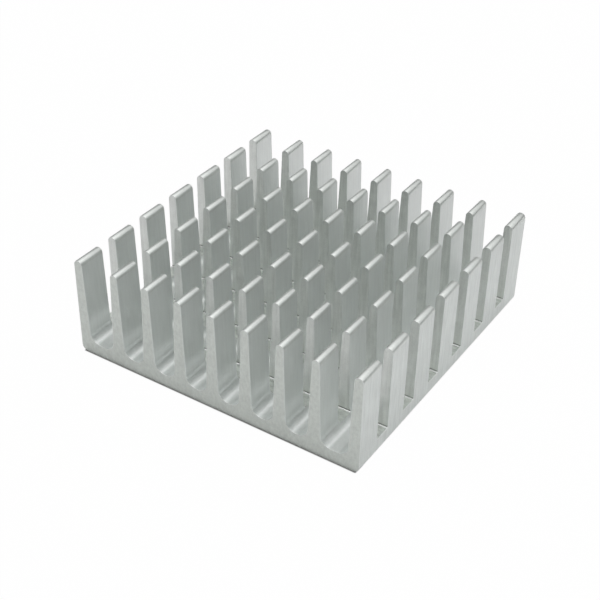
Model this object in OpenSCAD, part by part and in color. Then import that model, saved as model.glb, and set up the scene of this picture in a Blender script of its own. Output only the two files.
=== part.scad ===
// Cross-cut extruded heat sink
//
// One piece of aluminium extrusion: a thin base that carries tapered fins with round tips.
// Saw slots across the fins leave rows of flat pins, and stop just above the channel floors.
//
// Millimetres. The section lies in X and Z and is extruded along Y; the slots run along X.
// The origin is the middle of the underside, the flat face that sits on the chip.

/* [Base] */
// Width of the section, across the fins
base_w = 30; // [28:0.5:60]
// Length of the piece, sawn from the bar
base_l = 30; // [28:0.5:90]
// Thickness of the base at the channel floors
base_t = 1.3; // [0.9:0.1:4]
// Radius along the two bottom edges of the section
edge_r = 0.6; // [0.1:0.1:0.8]

/* [Fins] */
// Height of the heat sink, from the underside to the fin tips
sink_h = 10; // [5:0.5:20]
// Number of fins between the two outer fins
inner_fin_n = 7; // [1:1:7]
// Spacing of the inner fins, centre to centre
fin_pitch = 3.5; // [2.7:0.1:4]
// Thickness of an inner fin across its round tip
fin_tip_t = 0.8; // [0.4:0.1:1.2]
// Thickness of an outer fin across its round tip
outer_tip_t = 0.9; // [0.4:0.1:1.6]
// Lean of the fin sides, in degrees, which thickens the fins towards the base
fin_draft = 2; // [0.5:0.25:2.5]
// Radius between the side of a fin and the channel floor
root_r = 1; // [0.2:0.1:1.4]

/* [Saw slots] */
// Number of slots across the fins
slot_n = 6; // [1:1:6]
// Width of a slot
slot_w = 1.8; // [0.6:0.1:3]
// Spacing of the slots, centre to centre
slot_pitch = 4.5; // [3.2:0.1:5]
// Height of the ridges that a slot leaves standing above the channel floors
slot_ridge_h = 0.4; // [0.2:0.1:2]
// Radius in the two bottom corners of a slot
slot_corner_r = 0.15; // [0.05:0.05:0.25]

/* [Hidden] */

$fn = 64;

// How far a cutter runs past the surface that it breaks through
overcut = 1;

slot_floor_z = base_t + slot_ridge_h;
outer_fin_x = (base_w - outer_tip_t) / 2;

// Half of a fin's thickness at height z, measured on its leaning side
function half_t(tip_t, z) = tip_t / 2 / cos(fin_draft) + (sink_h - tip_t / 2 - z) * tan(fin_draft);

// Clear width of the channel floor between two inner fins
channel_w = fin_pitch - 2 * half_t(fin_tip_t, base_t);

// Two fillets share a channel, so neither takes more than half of it
fillet_r = min(root_r, channel_w / 2);

// Base of the section, with its bottom edges rounded
module base_section() {
    inset = base_w / 2 - edge_r;
    polygon([
        [-inset, 0], [inset, 0], [base_w / 2, edge_r],
        [base_w / 2, base_t], [-base_w / 2, base_t], [-base_w / 2, edge_r]
    ]);
    for (side = [-1, 1])
        translate([side * inset, edge_r])
            circle(r = edge_r);
}

// Right-hand half of a fin: leaning side, with the fillet at its foot
module leaning_half(tip_t) {
    tip_z = sink_h - tip_t / 2;
    fillet_z = base_t + fillet_r;
    fillet_x = half_t(tip_t, fillet_z) + fillet_r / cos(fin_draft);
    difference() {
        polygon([
            [0, edge_r],
            [fillet_x, edge_r],
            [fillet_x, base_t],
            [fillet_x - fillet_r * cos(fin_draft), fillet_z - fillet_r * sin(fin_draft)],
            [tip_t / 2 * cos(fin_draft), tip_z + tip_t / 2 * sin(fin_draft)],
            [0, tip_z]
        ]);
        translate([fillet_x, fillet_z])
            circle(r = fillet_r);
    }
}

// Right-hand half of a fin: upright side, flush with the side of the base
module upright_half(tip_t) {
    translate([0, edge_r])
        square([tip_t / 2, sink_h - tip_t / 2 - edge_r]);
}

// Round tip of a fin
module tip_round(tip_t) {
    translate([0, sink_h - tip_t / 2])
        circle(d = tip_t);
}

module inner_fin_section() {
    leaning_half(fin_tip_t);
    mirror([1, 0])
        leaning_half(fin_tip_t);
    tip_round(fin_tip_t);
}

// Outer fin of the right-hand side
module outer_fin_section() {
    upright_half(outer_tip_t);
    mirror([1, 0])
        leaning_half(outer_tip_t);
    tip_round(outer_tip_t);
}

// Section of the extruded bar, as the die gives it
module bar_section() {
    base_section();
    for (i = [0 : inner_fin_n - 1])
        translate([(i - (inner_fin_n - 1) / 2) * fin_pitch, 0])
            inner_fin_section();
    translate([outer_fin_x, 0])
        outer_fin_section();
    mirror([1, 0])
        translate([outer_fin_x, 0])
            outer_fin_section();
}

// Section of one saw slot, open above the fin tips
module slot_section() {
    half_w = slot_w / 2;
    corner_y = half_w - slot_corner_r;
    corner_z = slot_floor_z + slot_corner_r;
    polygon([
        [-corner_y, slot_floor_z], [corner_y, slot_floor_z], [half_w, corner_z],
        [half_w, sink_h + overcut], [-half_w, sink_h + overcut], [-half_w, corner_z]
    ]);
    for (side = [-1, 1])
        translate([side * corner_y, corner_z])
            circle(r = slot_corner_r);
}

module saw_slots() {
    for (i = [0 : slot_n - 1])
        translate([0, (i - (slot_n - 1) / 2) * slot_pitch, 0])
            rotate([90, 0, 90])
                linear_extrude(height = base_w + 2 * overcut, center = true)
                    slot_section();
}

module heat_sink() {
    color("silver")
        difference() {
            rotate([90, 0, 0])
                linear_extrude(height = base_l, center = true)
                    bar_section();
            saw_slots();
        }
}

heat_sink();
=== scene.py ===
"""Cross-cut aluminium heat sink: the finished piece, its metal, the table and the studio light.

Metres throughout, in the frame of the CAD model. The bar runs along Y, the saw slots along X.
"""
import math

import bmesh
import bpy
from mathutils import Matrix, Vector


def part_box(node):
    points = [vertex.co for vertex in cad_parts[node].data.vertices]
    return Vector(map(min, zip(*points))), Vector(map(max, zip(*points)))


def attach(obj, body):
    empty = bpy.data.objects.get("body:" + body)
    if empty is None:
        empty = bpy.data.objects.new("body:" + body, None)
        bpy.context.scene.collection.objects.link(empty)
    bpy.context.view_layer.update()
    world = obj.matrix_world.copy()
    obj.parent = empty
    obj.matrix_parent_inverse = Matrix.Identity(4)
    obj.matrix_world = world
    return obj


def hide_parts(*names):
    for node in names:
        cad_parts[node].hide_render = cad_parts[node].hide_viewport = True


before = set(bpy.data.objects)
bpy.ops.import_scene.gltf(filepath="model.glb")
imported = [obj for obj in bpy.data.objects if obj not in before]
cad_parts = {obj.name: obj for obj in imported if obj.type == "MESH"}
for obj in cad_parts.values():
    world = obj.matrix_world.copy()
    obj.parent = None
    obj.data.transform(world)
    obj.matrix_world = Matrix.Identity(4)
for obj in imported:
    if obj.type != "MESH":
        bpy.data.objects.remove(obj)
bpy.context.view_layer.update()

MM = 0.001
MICRON = 1e-6
SAME = 0.0005 * MM  # two corners nearer than this are one
ON_PLANE = SAME / 10  # a corner nearer than this to a cutting plane lies on it

# Sizes that the part's source gives
BASE_T = 1.3 * MM
EDGE_R = 0.6 * MM
INNER_FINS = 7
FIN_PITCH = 3.5 * MM
FIN_TIP_T = 0.8 * MM
OUTER_TIP_T = 0.9 * MM
FIN_DRAFT = math.radians(2)
ROOT_R = 1.0 * MM
SLOTS = 6
SLOT_W = 1.8 * MM
SLOT_PITCH = 4.5 * MM
RIDGE_H = 0.4 * MM
SLOT_CORNER_R = 0.15 * MM

# Sizes that the model's box gives
box_lo, box_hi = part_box("heat_sink")
HALF_W = (box_hi.x - box_lo.x) / 2
HALF_L = (box_hi.y - box_lo.y) / 2
HEIGHT = box_hi.z

# Heights of a slot's floor and of the foot of its walls, and where the outer fins' tips are centred
SLOT_FLOOR = BASE_T + RIDGE_H
WALL_FOOT = SLOT_FLOOR + SLOT_CORNER_R
OUTER_FIN_X = HALF_W - OUTER_TIP_T / 2

# How many flat strips a rounded corner has
ARC_STEPS = 8
SLOT_CORNER_STEPS = 2
BROKEN_EDGE_STEPS = 2

# The broken edge that deburring leaves, and the least angle between two faces that it needs
BROKEN_EDGE = 0.05 * MM
SHARP = math.radians(40)

# Faces that differ by less than this are one flat, and by more than this are shaded apart
FLAT = math.radians(0.3)
CREASE = math.radians(35)

# How squarely a face looks along an axis, from 0 to 1, to tell walls, corners and floors apart
SQUARE_ON = 0.99
MOSTLY = 0.7
HARDLY = 0.1

# Places of the finishes in the piece's list of materials
EXTRUDED, BAR_SIDE, FIN_TIP, SAWN_END, SLOT_WALL, SLOT_BED, SLOT_FOOT, SLOT_CORNER, EDGE = range(9)


# ---------------------------------------------------------------- the bar's section

def half_thickness(tip_t, z):
    """Half of a fin's thickness at height z, measured on its leaning side."""
    tip = tip_t / 2
    return tip / math.cos(FIN_DRAFT) + (HEIGHT - tip - z) * math.tan(FIN_DRAFT)


def section_outline():
    """Outline of the bar's section before its corners are rounded, as (x, z, kind of corner)."""
    outer_top = OUTER_FIN_X - half_thickness(OUTER_TIP_T, HEIGHT)
    outer_root = OUTER_FIN_X - half_thickness(OUTER_TIP_T, BASE_T)
    top = half_thickness(FIN_TIP_T, HEIGHT)
    root = half_thickness(FIN_TIP_T, BASE_T)
    right = [
        (HALF_W, 0, "edge"),
        (HALF_W, HEIGHT, "outer tip, flush side"),
        (outer_top, HEIGHT, "outer tip, leaning side"),
        (outer_root, BASE_T, "root"),
    ]
    inner = []
    for i in reversed(range(INNER_FINS)):
        x = (i - (INNER_FINS - 1) / 2) * FIN_PITCH
        inner.append((x + root, BASE_T, "root"))
        inner.append((x + top, HEIGHT, "tip"))
        inner.append((x - top, HEIGHT, "tip"))
        inner.append((x - root, BASE_T, "root"))
    left = [(-x, z, kind) for x, z, kind in reversed(right)]
    return right + inner + left


def round_corners(bm, corners, radius, angle):
    """Rounds corners of the flat section. The angle is the one between a corner's two sides."""
    reach = radius / math.tan(angle / 2)
    bmesh.ops.bevel(
        bm, geom=corners, offset=reach, offset_type="OFFSET", segments=ARC_STEPS,
        profile=0.5, affect="VERTICES", clamp_overlap=False, material=-1,
    )


def make_section():
    """The bar's section as one flat face in the plane y = 0."""
    bm = bmesh.new()
    kinds = {}
    corners = []
    for x, z, kind in section_outline():
        corner = bm.verts.new((x, 0, z))
        corners.append(corner)
        kinds.setdefault(kind, []).append(corner)
    bm.faces.new(corners)
    square = math.pi / 2
    leaning = square + FIN_DRAFT
    round_corners(bm, kinds["edge"], EDGE_R, square)
    round_corners(bm, kinds["root"], ROOT_R, leaning)
    round_corners(bm, kinds["tip"], FIN_TIP_T / 2, leaning)
    round_corners(bm, kinds["outer tip, flush side"], OUTER_TIP_T / 2, square)
    round_corners(bm, kinds["outer tip, leaning side"], OUTER_TIP_T / 2, leaning)
    bmesh.ops.remove_doubles(bm, verts=bm.verts[:], dist=SAME)
    return bm


# ---------------------------------------------------------------- rows and slots

def slot_profile():
    """The saw slot's outline from wall to wall as (y, z), with its rounded bottom corners."""
    half = SLOT_W / 2
    steps = [i * (math.pi / 2) / SLOT_CORNER_STEPS for i in range(SLOT_CORNER_STEPS + 1)]
    near = []
    for turn in steps:
        y = -half + SLOT_CORNER_R * (1 - math.cos(turn))
        z = SLOT_FLOOR + SLOT_CORNER_R * (1 - math.sin(turn))
        near.append((y, z))
    return near + [(-y, z) for y, z in reversed(near)]


def stations():
    """Every slice of the bar as (y0, z0, y1, z1): z is where the cut stands, or None in a row."""
    slices = []
    row_start = -HALF_L
    for i in range(SLOTS):
        middle = (i - (SLOTS - 1) / 2) * SLOT_PITCH
        profile = [(middle + y, z) for y, z in slot_profile()]
        slices.append((row_start, None, profile[0][0], None))
        for (y0, z0), (y1, z1) in zip(profile, profile[1:]):
            slices.append((y0, z0, y1, z1))
        row_start = profile[-1][0]
    slices.append((row_start, None, HALF_L, None))
    return slices


def add_section(bm, section, y):
    """A copy of the section's faces in bm, moved to y."""
    mesh = bpy.data.meshes.new("section copy")
    section.to_mesh(mesh)
    known = set(bm.faces)
    bm.from_mesh(mesh)
    bpy.data.meshes.remove(mesh)
    new_faces = [f for f in bm.faces if f not in known]
    new_verts = list({v for f in new_faces for v in f.verts})
    bmesh.ops.translate(bm, vec=(0, y, 0), verts=new_verts)
    return new_faces


def extrude_slice(bm, faces, length):
    """Closed slab from flat faces, by pushing them along Y."""
    pushed = bmesh.ops.extrude_face_region(bm, geom=faces)["geom"]
    verts = [g for g in pushed if isinstance(g, bmesh.types.BMVert)]
    bmesh.ops.translate(bm, vec=(0, length, 0), verts=verts)


def trim_above(bm, y0, z0, y1, z1):
    """Cuts the slab off above the line from (y0, z0) to (y1, z1) and closes the cut."""
    slope = Vector((0, z0 - z1, y1 - y0)).normalized()
    cut = bmesh.ops.bisect_plane(
        bm, geom=bm.verts[:] + bm.edges[:] + bm.faces[:], dist=ON_PLANE,
        plane_co=(0, y0, z0), plane_no=slope, clear_outer=True,
    )["geom_cut"]
    rim = [g for g in cut if isinstance(g, bmesh.types.BMEdge)]
    bmesh.ops.edgeloop_fill(bm, edges=rim)


def is_inside_metal(face, y, in_row):
    """True for a slab's end face at y that another slab covers, and so isn't a surface."""
    flat = all(abs(v.co.y - y) < SAME for v in face.verts)
    if not flat or abs(abs(y) - HALF_L) < SAME:
        return False
    return not in_row or max(v.co.z for v in face.verts) < WALL_FOOT + SAME


def make_slice(section, y0, z0, y1, z1):
    """One slab of the bar, open where it meets the next ones."""
    slab = bmesh.new()
    faces = add_section(slab, section, y0)
    in_row = z0 is None
    if in_row:
        bmesh.ops.bisect_plane(
            slab, geom=slab.verts[:] + slab.edges[:] + slab.faces[:], dist=ON_PLANE,
            plane_co=(0, y0, WALL_FOOT), plane_no=(0, 0, 1),
        )
        faces = slab.faces[:]
    extrude_slice(slab, faces, y1 - y0)
    if not in_row:
        trim_above(slab, y0, z0, y1, z1)
    hidden = [f for f in slab.faces
              if is_inside_metal(f, y0, in_row) or is_inside_metal(f, y1, in_row)]
    bmesh.ops.delete(slab, geom=hidden, context="FACES_ONLY")
    return slab


def join(bm, other):
    """Adds the other mesh to bm and frees it."""
    mesh = bpy.data.meshes.new("slab copy")
    other.to_mesh(mesh)
    bm.from_mesh(mesh)
    bpy.data.meshes.remove(mesh)
    other.free()


def break_edges(bm):
    """Small rounding on the outlines that the saw left, which are the convex sharp ones."""
    sharp = []
    for e in bm.edges:
        if len(e.link_faces) != 2 or not e.is_convex or e.calc_face_angle() < SHARP:
            continue
        a = e.verts[0].co
        b = e.verts[1].co
        on_end = min(abs(a.y), abs(b.y)) > HALF_L - SAME
        on_side = min(abs(a.x), abs(b.x)) > HALF_W - SAME
        above_slot = max(a.z, b.z) > WALL_FOOT + SAME
        if on_end or on_side or above_slot:
            sharp.append(e)
    made = bmesh.ops.bevel(
        bm, geom=sharp, offset=BROKEN_EDGE, offset_type="OFFSET", segments=BROKEN_EDGE_STEPS,
        profile=0.5, affect="EDGES", clamp_overlap=False, material=-1,
    )
    for face in made["faces"]:
        face.material_index = EDGE


def make_body():
    """The whole heat sink as one closed mesh."""
    bm = bmesh.new()
    section = make_section()
    for y0, z0, y1, z1 in stations():
        join(bm, make_slice(section, y0, z0, y1, z1))
    section.free()
    bmesh.ops.remove_doubles(bm, verts=bm.verts[:], dist=SAME)
    bmesh.ops.dissolve_limit(
        bm, angle_limit=FLAT, use_dissolve_boundaries=False,
        verts=bm.verts[:], edges=bm.edges[:], delimit=set(),
    )
    bmesh.ops.recalc_face_normals(bm, faces=bm.faces[:])
    return bm


def finish_of(face):
    """Which finish a face has, by where it lies on the piece."""
    middle = face.calc_center_median()
    tilt = abs(face.normal.y)
    if abs(middle.y) > HALF_L - SAME:
        return SAWN_END
    if tilt > SQUARE_ON:
        return SLOT_WALL
    if tilt > MOSTLY:
        return SLOT_CORNER
    if tilt > HARDLY:
        return SLOT_FOOT
    if middle.z > HEIGHT - OUTER_TIP_T / 2:
        return FIN_TIP
    if abs(middle.x) > HALF_W - SAME:
        return BAR_SIDE
    if face.normal.z > SQUARE_ON and abs(middle.z - SLOT_FLOOR) < SAME:
        return SLOT_BED
    return EXTRUDED


# ---------------------------------------------------------------- node helpers

def plug(tree, socket, value):
    """Gives a socket a link or a plain value."""
    if isinstance(value, bpy.types.NodeSocket):
        tree.links.new(value, socket)
    else:
        socket.default_value = value


def math_node(tree, operation, a, b=0.0):
    """One step of arithmetic on two numbers, each a socket or a plain value."""
    node = tree.nodes.new("ShaderNodeMath")
    node.operation = operation
    plug(tree, node.inputs[0], a)
    plug(tree, node.inputs[1], b)
    return node.outputs[0]


def vector_node(tree, operation, a, b=(0, 0, 0)):
    """One step of arithmetic on two vectors, each a socket or a plain value."""
    node = tree.nodes.new("ShaderNodeVectorMath")
    node.operation = operation
    plug(tree, node.inputs[0], a)
    plug(tree, node.inputs[1], b)
    return node.outputs["Value"] if operation == "LENGTH" else node.outputs["Vector"]


def weighted_sum(tree, parts):
    """Sum of (value, weight) pairs."""
    total = math_node(tree, "MULTIPLY", *parts[0])
    for value, weight in parts[1:]:
        total = math_node(tree, "ADD", total, math_node(tree, "MULTIPLY", value, weight))
    return total


def noise(tree, place, per_metre, detail, roughness):
    """Noise from 0 to 1 that changes so many times a metre along each axis."""
    node = tree.nodes.new("ShaderNodeTexNoise")
    node.inputs["Scale"].default_value = 1.0
    node.inputs["Detail"].default_value = detail
    node.inputs["Roughness"].default_value = roughness
    tree.links.new(vector_node(tree, "MULTIPLY", place, per_metre), node.inputs["Vector"])
    return node.outputs["Fac"]


def ramp(tree, value, low, high, start, end, smooth=False):
    """Goes from start to end as value goes from low to high."""
    node = tree.nodes.new("ShaderNodeMapRange")
    node.interpolation_type = "SMOOTHSTEP" if smooth else "LINEAR"
    node.inputs["From Min"].default_value = low
    node.inputs["From Max"].default_value = high
    plug(tree, node.inputs["To Min"], start)
    plug(tree, node.inputs["To Max"], end)
    plug(tree, node.inputs["Value"], value)
    return node.outputs["Result"]


def new_group(name, inputs, outputs):
    """Shader node group with named sockets: inputs as (name, kind, value), outputs as (name, kind)."""
    group = bpy.data.node_groups.new(name, "ShaderNodeTree")
    for socket, kind, value in inputs:
        made = group.interface.new_socket(socket, in_out="INPUT", socket_type=kind)
        if value is not None:
            made.default_value = value
    for socket, kind in outputs:
        group.interface.new_socket(socket, in_out="OUTPUT", socket_type=kind)
    return group, group.nodes.new("NodeGroupInput"), group.nodes.new("NodeGroupOutput")


def new_material(name):
    """Empty node material and its output node."""
    material = bpy.data.materials.new(name)
    material.use_nodes = True
    material.node_tree.nodes.clear()
    return material, material.node_tree.nodes.new("ShaderNodeOutputMaterial")


# ---------------------------------------------------------------- metal

# The metal's share in the finish, and the middle stretch of a noise, where most of it lies
METALLIC = 0.61
NOISE_LOW = 0.35
NOISE_HIGH = 0.65

# Colours of the extruded skin, the bar's side and the fins' tips (both darker as painted shade), the
# sawn faces, a slot's walls (lighter as painted light), its foot (a painted highlight) and its corner
# (painted shade)
SKIN = (0.846, 0.874, 0.859)
SIDE = (0.800, 0.836, 0.816)
TIP = (0.785, 0.818, 0.790)
SAWN = (0.737, 0.775, 0.737)
SLOTTED = (0.864, 0.887, 0.862)
PAINTED_FOOT_HIGHLIGHT = (0.96, 0.97, 0.96)
SHADED = (0.40, 0.42, 0.40)

# Roughness of the satin faces, of the fins' tips and of a slot's foot, which carries a painted
# highlight, and how far it varies
SATIN = 0.295
SATIN_TIP = 0.31
BRIGHT = 0.06
UNEVEN = 0.012

# How fast each pattern changes along X, Y and Z, in changes per metre
ALONG_BAR = (5000, 30, 5000)
UPRIGHT = (4200, 4200, 350)
SAW_MARKS = (4000, 4000, 600)
ACROSS = (900, 3500, 900)
SMEARS = (3600, 3600, 2200)
MOTTLED = (1400, 1200, 1000)
COARSE = (900, 900, 900)
BROAD = (250, 120, 250)
GRAIN = (9000, 9000, 9000)


def signed(tree, value):
    """A noise's middle stretch spread over -1 to 1."""
    return ramp(tree, value, NOISE_LOW, NOISE_HIGH, -1.0, 1.0)


def metal_tone(tree, colour, spread, streaks, clouds, grain):
    """The colour made a little darker and lighter by the patterns."""
    tone = signed(tree, weighted_sum(tree, [(streaks, 0.45), (clouds, 0.30), (grain, 0.25)]))
    factor = math_node(tree, "ADD", math_node(tree, "MULTIPLY", tone, spread), 1.0)
    tinted = tree.nodes.new("ShaderNodeVectorMath")
    tinted.operation = "SCALE"
    tree.links.new(colour, tinted.inputs[0])
    tree.links.new(factor, tinted.inputs["Scale"])
    return tinted.outputs["Vector"]


def metal_roughness(tree, roughness, spread, streaks, clouds):
    """The roughness made a little lower and higher by the patterns."""
    dull = signed(tree, weighted_sum(tree, [(clouds, 0.5), (streaks, 0.5)]))
    return math_node(tree, "ADD", math_node(tree, "MULTIPLY", dull, spread), roughness)


def worked_metal_group():
    """Lines that a die or a saw leaves, vertical etching streaks, soft clouds and fine grain."""
    group, start, end = new_group(
        "Worked metal",
        [("Position", "NodeSocketVector", None),
         ("Lines per Metre", "NodeSocketVector", COARSE),
         ("Streaks per Metre", "NodeSocketVector", COARSE),
         ("Clouds per Metre", "NodeSocketVector", COARSE),
         ("Tone Spread", "NodeSocketFloat", 0.0),
         ("Colour", "NodeSocketColor", (*SKIN, 1)),
         ("Roughness", "NodeSocketFloat", SATIN),
         ("Roughness Spread", "NodeSocketFloat", UNEVEN)],
        [("Colour", "NodeSocketColor"),
         ("Roughness", "NodeSocketFloat"),
         ("Height", "NodeSocketFloat")],
    )
    given = start.outputs
    place = given["Position"]
    lines = noise(group, place, given["Lines per Metre"], detail=3.0, roughness=0.6)
    streaks = noise(group, place, given["Streaks per Metre"], detail=2.0, roughness=0.5)
    clouds = noise(group, place, given["Clouds per Metre"], detail=3.0, roughness=0.6)
    grain = noise(group, place, GRAIN, detail=2.0, roughness=0.6)

    colour = metal_tone(group, given["Colour"], given["Tone Spread"], streaks, clouds, grain)
    rough = metal_roughness(group, given["Roughness"], given["Roughness Spread"], streaks, clouds)
    height = weighted_sum(group, [(lines, 1.0), (streaks, 0.5), (grain, 0.35)])
    group.links.new(colour, end.inputs["Colour"])
    group.links.new(rough, end.inputs["Roughness"])
    group.links.new(height, end.inputs["Height"])
    return group


def satin_metal(name, group, colour, roughness, lines, streaks, clouds, tone_spread, depth):
    """Satin aluminium: a metal under a thin, slightly milky oxide skin."""
    material, out = new_material(name)
    tree = material.node_tree
    shader = tree.nodes.new("ShaderNodeBsdfPrincipled")
    shader.inputs["Metallic"].default_value = METALLIC
    tree.links.new(shader.outputs["BSDF"], out.inputs["Surface"])
    place = tree.nodes.new("ShaderNodeTexCoord")
    worked = tree.nodes.new("ShaderNodeGroup")
    worked.node_tree = group
    tree.links.new(place.outputs["Object"], worked.inputs["Position"])
    worked.inputs["Lines per Metre"].default_value = lines
    worked.inputs["Streaks per Metre"].default_value = streaks
    worked.inputs["Clouds per Metre"].default_value = clouds
    worked.inputs["Tone Spread"].default_value = tone_spread
    worked.inputs["Colour"].default_value = (*colour, 1)
    worked.inputs["Roughness"].default_value = roughness
    bump = tree.nodes.new("ShaderNodeBump")
    bump.inputs["Distance"].default_value = depth
    tree.links.new(worked.outputs["Colour"], shader.inputs["Base Color"])
    tree.links.new(worked.outputs["Roughness"], shader.inputs["Roughness"])
    tree.links.new(worked.outputs["Height"], bump.inputs["Height"])
    tree.links.new(bump.outputs["Normal"], shader.inputs["Normal"])
    return material


def extruded_finishes(group):
    """What the die leaves: the skin, and the bar's side and the fins' tips, darker than the skin as
    painted shade.
    """
    return [
        satin_metal("extruded skin", group, SKIN, SATIN, lines=ALONG_BAR, streaks=UPRIGHT,
                    clouds=BROAD, tone_spread=0.055, depth=0.3 * MICRON),
        # The bar's side is darker than the skin: painted shade that offsets the tent's extra light on
        # it
        satin_metal("bar side", group, SIDE, SATIN, lines=ALONG_BAR, streaks=UPRIGHT,
                    clouds=BROAD, tone_spread=0.11, depth=0.5 * MICRON),
        # The fins' tips are darker than the skin: painted shade that tones down their highlight
        satin_metal("fin tip", group, TIP, SATIN_TIP, lines=ALONG_BAR, streaks=UPRIGHT,
                    clouds=BROAD, tone_spread=0.055, depth=0.3 * MICRON),
    ]


def sawn_finishes(group):
    """What the saw leaves: the bar's ends, then a slot's walls, bed, foot and corner, with painted
    light on the walls, a painted highlight on the foot and painted shade in the corner.
    """
    return [
        satin_metal("sawn end", group, SAWN, SATIN, lines=SMEARS, streaks=SMEARS,
                    clouds=MOTTLED, tone_spread=0.10, depth=0.6 * MICRON),
        # The slot's walls are lighter than the sawn ends: painted light that makes up for the shade in
        # the slots
        satin_metal("slot wall", group, SLOTTED, SATIN, lines=SAW_MARKS, streaks=UPRIGHT,
                    clouds=COARSE, tone_spread=0.11, depth=0.6 * MICRON),
        satin_metal("slot bed", group, SAWN, SATIN, lines=SAW_MARKS, streaks=ACROSS,
                    clouds=MOTTLED, tone_spread=0.25, depth=0.6 * MICRON),
        # A slot's foot is lighter than the other sawn faces: a painted highlight on its rounded corner
        satin_metal("slot foot painted highlight", group, PAINTED_FOOT_HIGHLIGHT, BRIGHT, lines=SAW_MARKS, streaks=UPRIGHT,
                    clouds=COARSE, tone_spread=0.03, depth=0.1 * MICRON),
        # The corner's dark colour is painted shade where a slot's wall meets its foot
        satin_metal("shaded slot corner", group, SHADED, SATIN, lines=SAW_MARKS, streaks=UPRIGHT,
                    clouds=COARSE, tone_spread=0.06, depth=0.1 * MICRON),
    ]


def make_finishes():
    """The finishes in the order of the piece's list of materials."""
    group = worked_metal_group()
    finishes = extruded_finishes(group) + sawn_finishes(group)
    finishes.append(
        satin_metal("broken edge", group, SKIN, SATIN, lines=UPRIGHT, streaks=UPRIGHT,
                    clouds=COARSE, tone_spread=0.06, depth=0.2 * MICRON))
    return finishes


def make_piece():
    """The heat sink with its finishes, as the one object that shows."""
    bm = make_body()
    for face in bm.faces:
        face.material_index = finish_of(face)
    break_edges(bm)
    bmesh.ops.recalc_face_normals(bm, faces=bm.faces[:])
    mesh = bpy.data.meshes.new("heat_sink_body")
    bm.to_mesh(mesh)
    bm.free()
    for material in make_finishes():
        mesh.materials.append(material)
    mesh.shade_smooth()
    mesh.set_sharp_from_angle(angle=CREASE)
    piece = bpy.data.objects.new("heat_sink_body", mesh)
    bpy.context.scene.collection.objects.link(piece)
    weighted = piece.modifiers.new("flat faces stay flat", "WEIGHTED_NORMAL")
    weighted.keep_sharp = True
    return piece


# ---------------------------------------------------------------- studio

# The camera: its angles round the piece, what it looks at and how far off, and its lens
CAMERA_TURN = math.radians(32.369)
CAMERA_LIFT = math.radians(35.758)
CAMERA_ROLL = math.radians(1.192)
CAMERA_TARGET = Vector((0.278, -1.444, 3.75)) * MM
CAMERA_DISTANCE = 118.07 * MM
FOCAL_LENGTH = 75.58
SENSOR_WIDTH = 36
NEAREST_SEEN = 0.01
FARTHEST_SEEN = 10

# The table's half width, and the paper's tone far from the piece and in the painted contact shadow at
# its foot
TABLE = 0.6
PAPER_TONE = 0.905
PAINTED_SHADOW_TONE = 0.30

# The painted shadow starts at a line on the table, which lies this far in from the piece's outline
SIDE_INSET = 0.40 * MM
END_INSET = 0.03 * MM

# How far the painted shadow reaches from that line, and between which distances the paper turns white
PAINTED_SHADOW_REACH = 0.352 * MM
WHITE_START = 0.048 * MM
WHITE_FULL = 0.208 * MM

# Shares of plain white that the camera and the reflections meet
CAMERA_WHITE = 0.985
MIRRORED_WHITE = 0.05

# The tent's lower edge as the sine of its height, how soft it is, and how much lower it lies
# behind the piece and to its right
TENT_EDGE = 0.57
TENT_BLUR = 0.12
TENT_BEHIND = 0.28
TENT_RIGHT = 0.12

# Light from below the tent's edge, from its sides and from its roof, and where the roof starts
TENT_LOW = 0.02
TENT_SIDES = 0.795
TENT_ROOF = 1.34
ROOF_START = 0.72
ROOF_FULL = 0.93

# The softbox: two sides, power in watts and place
SOFTBOX_WIDTH = 0.30
SOFTBOX_DEPTH = 0.20
SOFTBOX_POWER = 0.012
SOFTBOX_PLACE = Vector((0.02, 0.10, 0.28))


def camera_place():
    """The camera's matrix from its angles, target and distance."""
    level = math.cos(CAMERA_LIFT)
    back = Vector((
        math.sin(CAMERA_TURN) * level,
        -math.cos(CAMERA_TURN) * level,
        math.sin(CAMERA_LIFT),
    ))
    right = Vector((math.cos(CAMERA_TURN), math.sin(CAMERA_TURN), 0))
    up = back.cross(right)
    side = right * math.cos(CAMERA_ROLL) + up * math.sin(CAMERA_ROLL)
    top = up * math.cos(CAMERA_ROLL) - right * math.sin(CAMERA_ROLL)
    place = Matrix((side, top, back)).transposed().to_4x4()
    place.translation = CAMERA_TARGET + back * CAMERA_DISTANCE
    return place


def make_camera():
    """The camera, set as the scene's own."""
    lens = bpy.data.cameras.new("camera")
    lens.lens = FOCAL_LENGTH
    lens.sensor_width = SENSOR_WIDTH
    lens.clip_start = NEAREST_SEEN
    lens.clip_end = FARTHEST_SEEN
    camera = bpy.data.objects.new("camera", lens)
    camera.matrix_world = camera_place()
    bpy.context.scene.collection.objects.link(camera)
    bpy.context.scene.camera = camera


def white_share(tree, seen, mirrored):
    """How much plain white a ray meets: the camera's share, and the smaller one of reflections."""
    path = tree.nodes.new("ShaderNodeLightPath")
    straight = math_node(tree, "MULTIPLY", path.outputs["Is Camera Ray"], seen)
    bounced = math_node(tree, "ADD", path.outputs["Is Glossy Ray"], path.outputs["Is Transmission Ray"])
    return math_node(tree, "ADD", straight, math_node(tree, "MULTIPLY", bounced, mirrored))


def distance_from_foot(tree):
    """How far a point of the table lies outside the line where the painted shadow starts."""
    place = tree.nodes.new("ShaderNodeTexCoord").outputs["Object"]
    foot = (HALF_W - SIDE_INSET, HALF_L - END_INSET, 0)
    beyond = vector_node(tree, "SUBTRACT", vector_node(tree, "ABSOLUTE", place), foot)
    beyond = vector_node(tree, "MULTIPLY", vector_node(tree, "MAXIMUM", beyond), (1, 1, 0))
    return vector_node(tree, "LENGTH", beyond)


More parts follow.
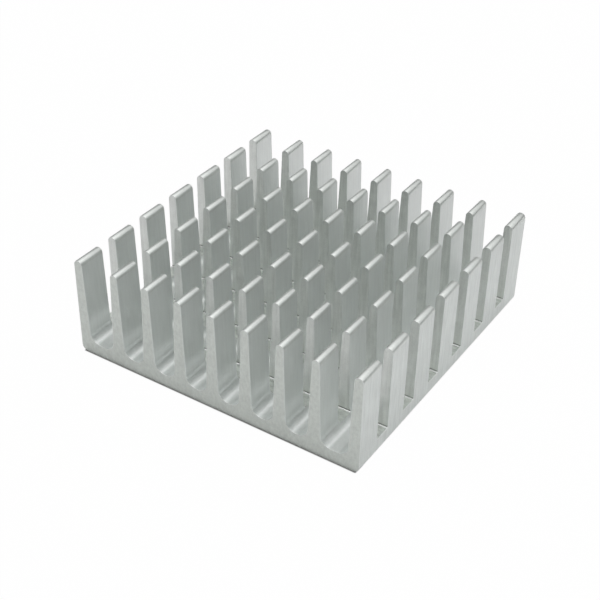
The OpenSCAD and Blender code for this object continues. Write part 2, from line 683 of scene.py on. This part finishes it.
def paper_material():
    """Paper that is white to the camera, apart from a narrow painted contact shadow at the piece's
    foot.
    """
    paper, out = new_material("white paper")
    tree = paper.node_tree
    matt = tree.nodes.new("ShaderNodeBsdfDiffuse")
    white = tree.nodes.new("ShaderNodeEmission")
    white.inputs["Color"].default_value = (1, 1, 1, 1)
    white.inputs["Strength"].default_value = 1.0
    distance = distance_from_foot(tree)
    # The paper darkens towards the foot: a painted contact shadow, which the metal's reflections show
    # too
    tone = ramp(tree, distance, 0.0, PAINTED_SHADOW_REACH, PAINTED_SHADOW_TONE, PAPER_TONE, smooth=True)
    tree.links.new(tone, matt.inputs["Color"])
    seen = ramp(tree, distance, WHITE_START, WHITE_FULL, 0.0, CAMERA_WHITE, smooth=True)
    mix = tree.nodes.new("ShaderNodeMixShader")
    tree.links.new(white_share(tree, seen, MIRRORED_WHITE), mix.inputs["Fac"])
    tree.links.new(matt.outputs["BSDF"], mix.inputs[1])
    tree.links.new(white.outputs["Emission"], mix.inputs[2])
    tree.links.new(mix.outputs["Shader"], out.inputs["Surface"])
    return paper


def make_table():
    """The table under its paper, which isn't part of the piece."""
    bm = bmesh.new()
    bmesh.ops.create_grid(bm, x_segments=1, y_segments=1, size=TABLE)
    mesh = bpy.data.meshes.new("table")
    bm.to_mesh(mesh)
    bm.free()
    mesh.materials.append(paper_material())
    floor = bpy.data.objects.new("table", mesh)
    bpy.context.scene.collection.objects.link(floor)


def tent_level(tree):
    """How bright the tent is in a direction: dark near the horizon, then its sides and its roof."""
    direction = tree.nodes.new("ShaderNodeTexCoord").outputs["Generated"]
    split = tree.nodes.new("ShaderNodeSeparateXYZ")
    tree.links.new(direction, split.inputs[0])
    up = split.outputs["Z"]
    behind = math_node(tree, "MAXIMUM", split.outputs["Y"], 0.0)
    reach = weighted_sum(tree, [(up, 1.0), (behind, TENT_BEHIND), (split.outputs["X"], TENT_RIGHT)])
    edge_low = TENT_EDGE - TENT_BLUR
    edge_high = TENT_EDGE + TENT_BLUR
    sides = ramp(tree, reach, edge_low, edge_high, TENT_LOW, TENT_SIDES, smooth=True)
    roof = ramp(tree, up, ROOF_START, ROOF_FULL, 0.0, TENT_ROOF - TENT_SIDES, smooth=True)
    return math_node(tree, "ADD", sides, roof)


def make_tent():
    """The world: a white tent for the light, and plain white behind the piece for the camera."""
    world = bpy.data.worlds.new("studio")
    world.use_nodes = True
    tree = world.node_tree
    background = tree.nodes["Background"]
    background.inputs["Color"].default_value = (1, 1, 1, 1)
    tent = tent_level(tree)
    share = white_share(tree, 1.0, MIRRORED_WHITE)
    rest = math_node(tree, "MULTIPLY", tent, math_node(tree, "SUBTRACT", 1.0, share))
    tree.links.new(math_node(tree, "ADD", rest, share), background.inputs["Strength"])
    bpy.context.scene.world = world


def make_softbox():
    """One weak soft lamp above and behind the piece, turned to it."""
    lamp = bpy.data.lights.new("softbox", "AREA")
    lamp.shape = "RECTANGLE"
    lamp.size = SOFTBOX_WIDTH
    lamp.size_y = SOFTBOX_DEPTH
    lamp.energy = SOFTBOX_POWER
    box = bpy.data.objects.new("softbox", lamp)
    box.location = SOFTBOX_PLACE
    box.rotation_euler = (-SOFTBOX_PLACE).to_track_quat("-Z", "Y").to_euler()
    bpy.context.scene.collection.objects.link(box)


piece = make_piece()
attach(piece, "root")
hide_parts("heat_sink")

make_camera()
make_table()
make_tent()
make_softbox()
bpy.context.scene.view_settings.view_transform = "Standard"
